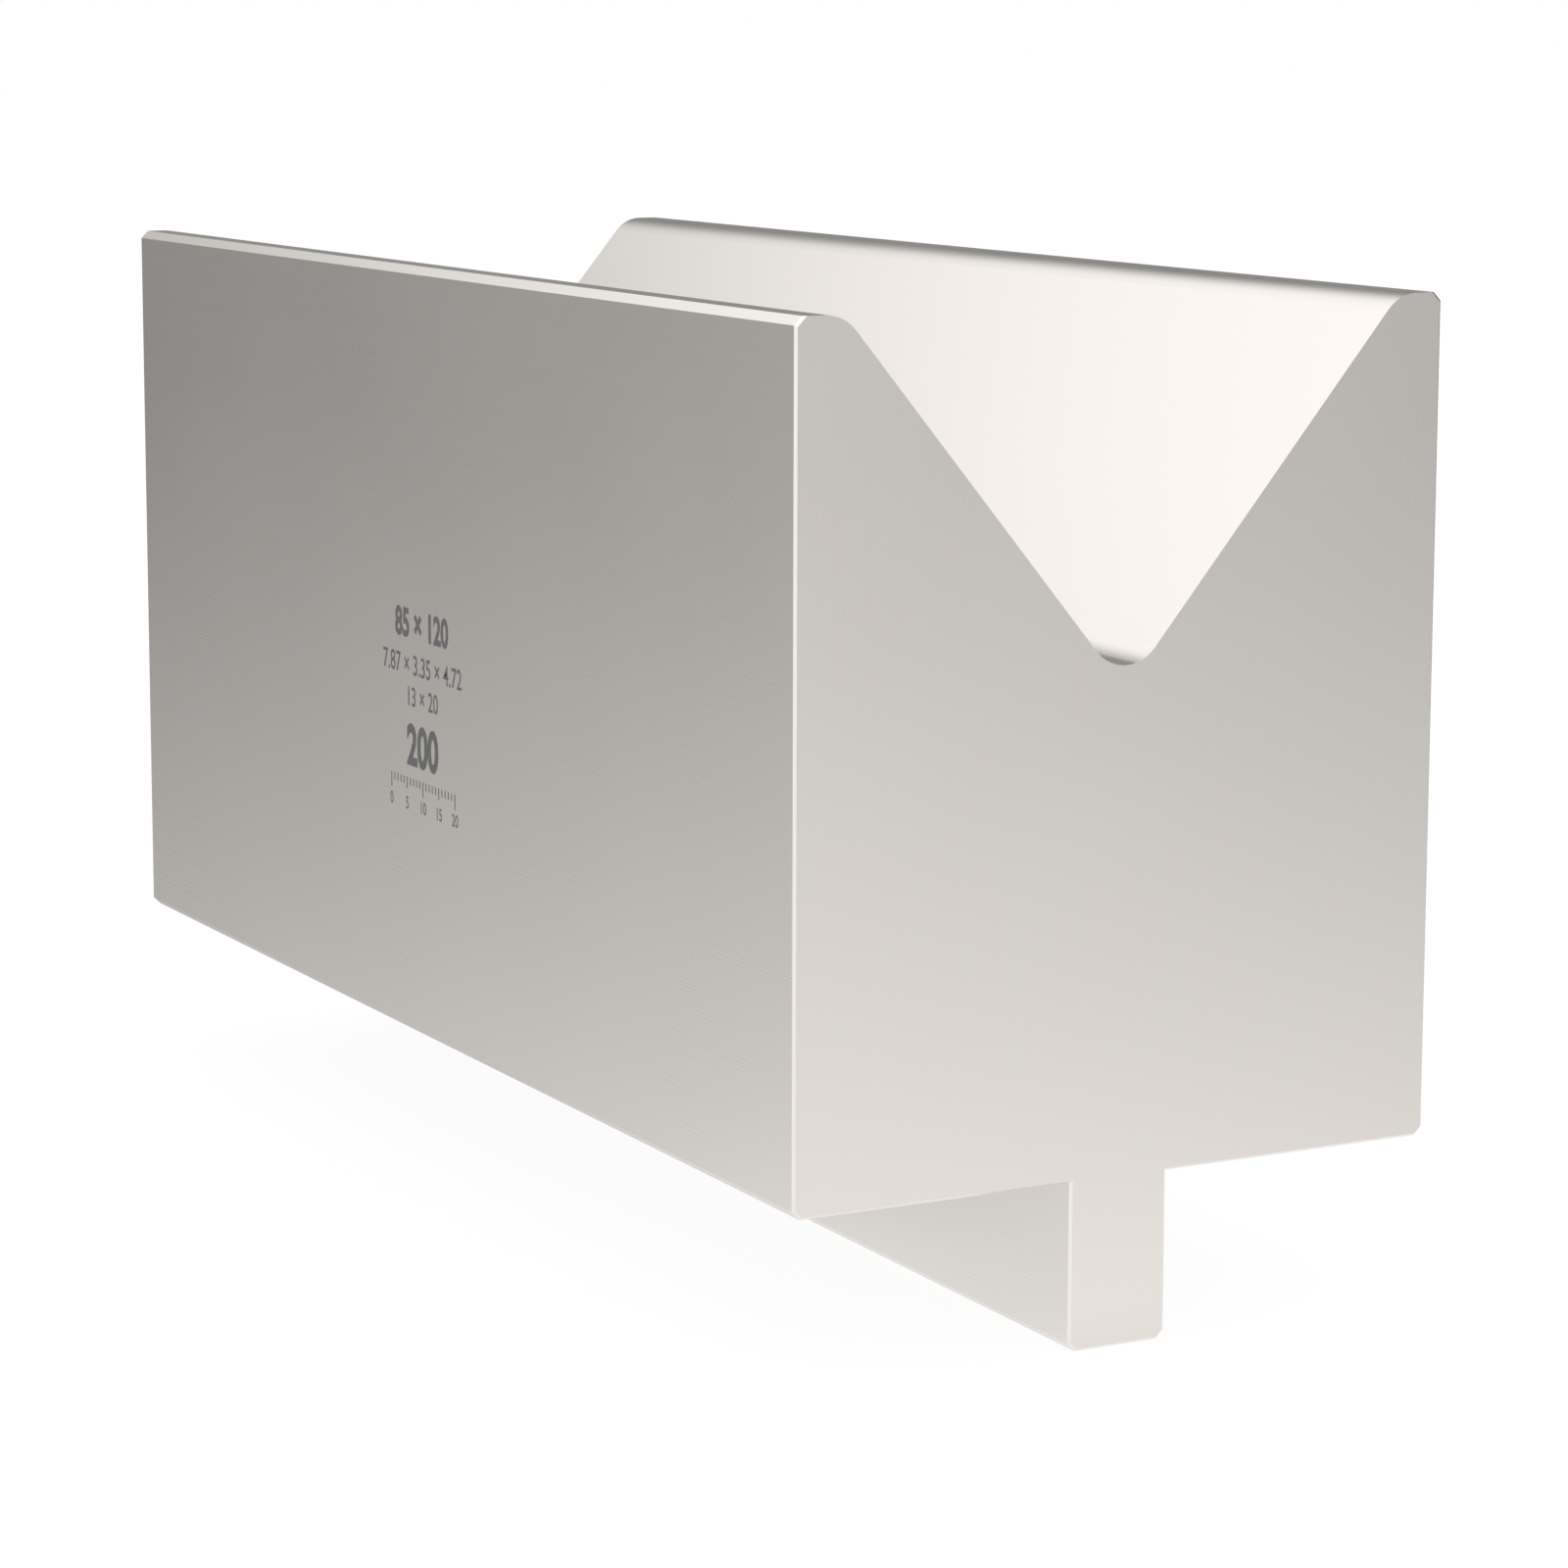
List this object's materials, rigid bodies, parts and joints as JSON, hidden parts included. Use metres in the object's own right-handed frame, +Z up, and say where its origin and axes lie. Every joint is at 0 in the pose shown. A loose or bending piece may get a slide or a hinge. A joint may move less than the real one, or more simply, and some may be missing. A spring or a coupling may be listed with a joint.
{
  "type": "press brake v die",
  "caption": "Solid ground steel press brake die, a long block with a radiused V groove along its top and a narrow clamping tang centred below.",
  "frame": {"origin": "middle of the tang's foot, which the die stands on", "axes": "+X along the die, +Y across it, +Z up out of the V groove"},
  "size_m": [0.2, 0.085, 0.12],
  "materials": {
    "ground_steel": "fine ground, satin",
    "laser_mark": "dark annealed marking, matte"
  },
  "bodies": {
    "root": {"v_die": "ground_steel"}
  },
  "joints": []
}
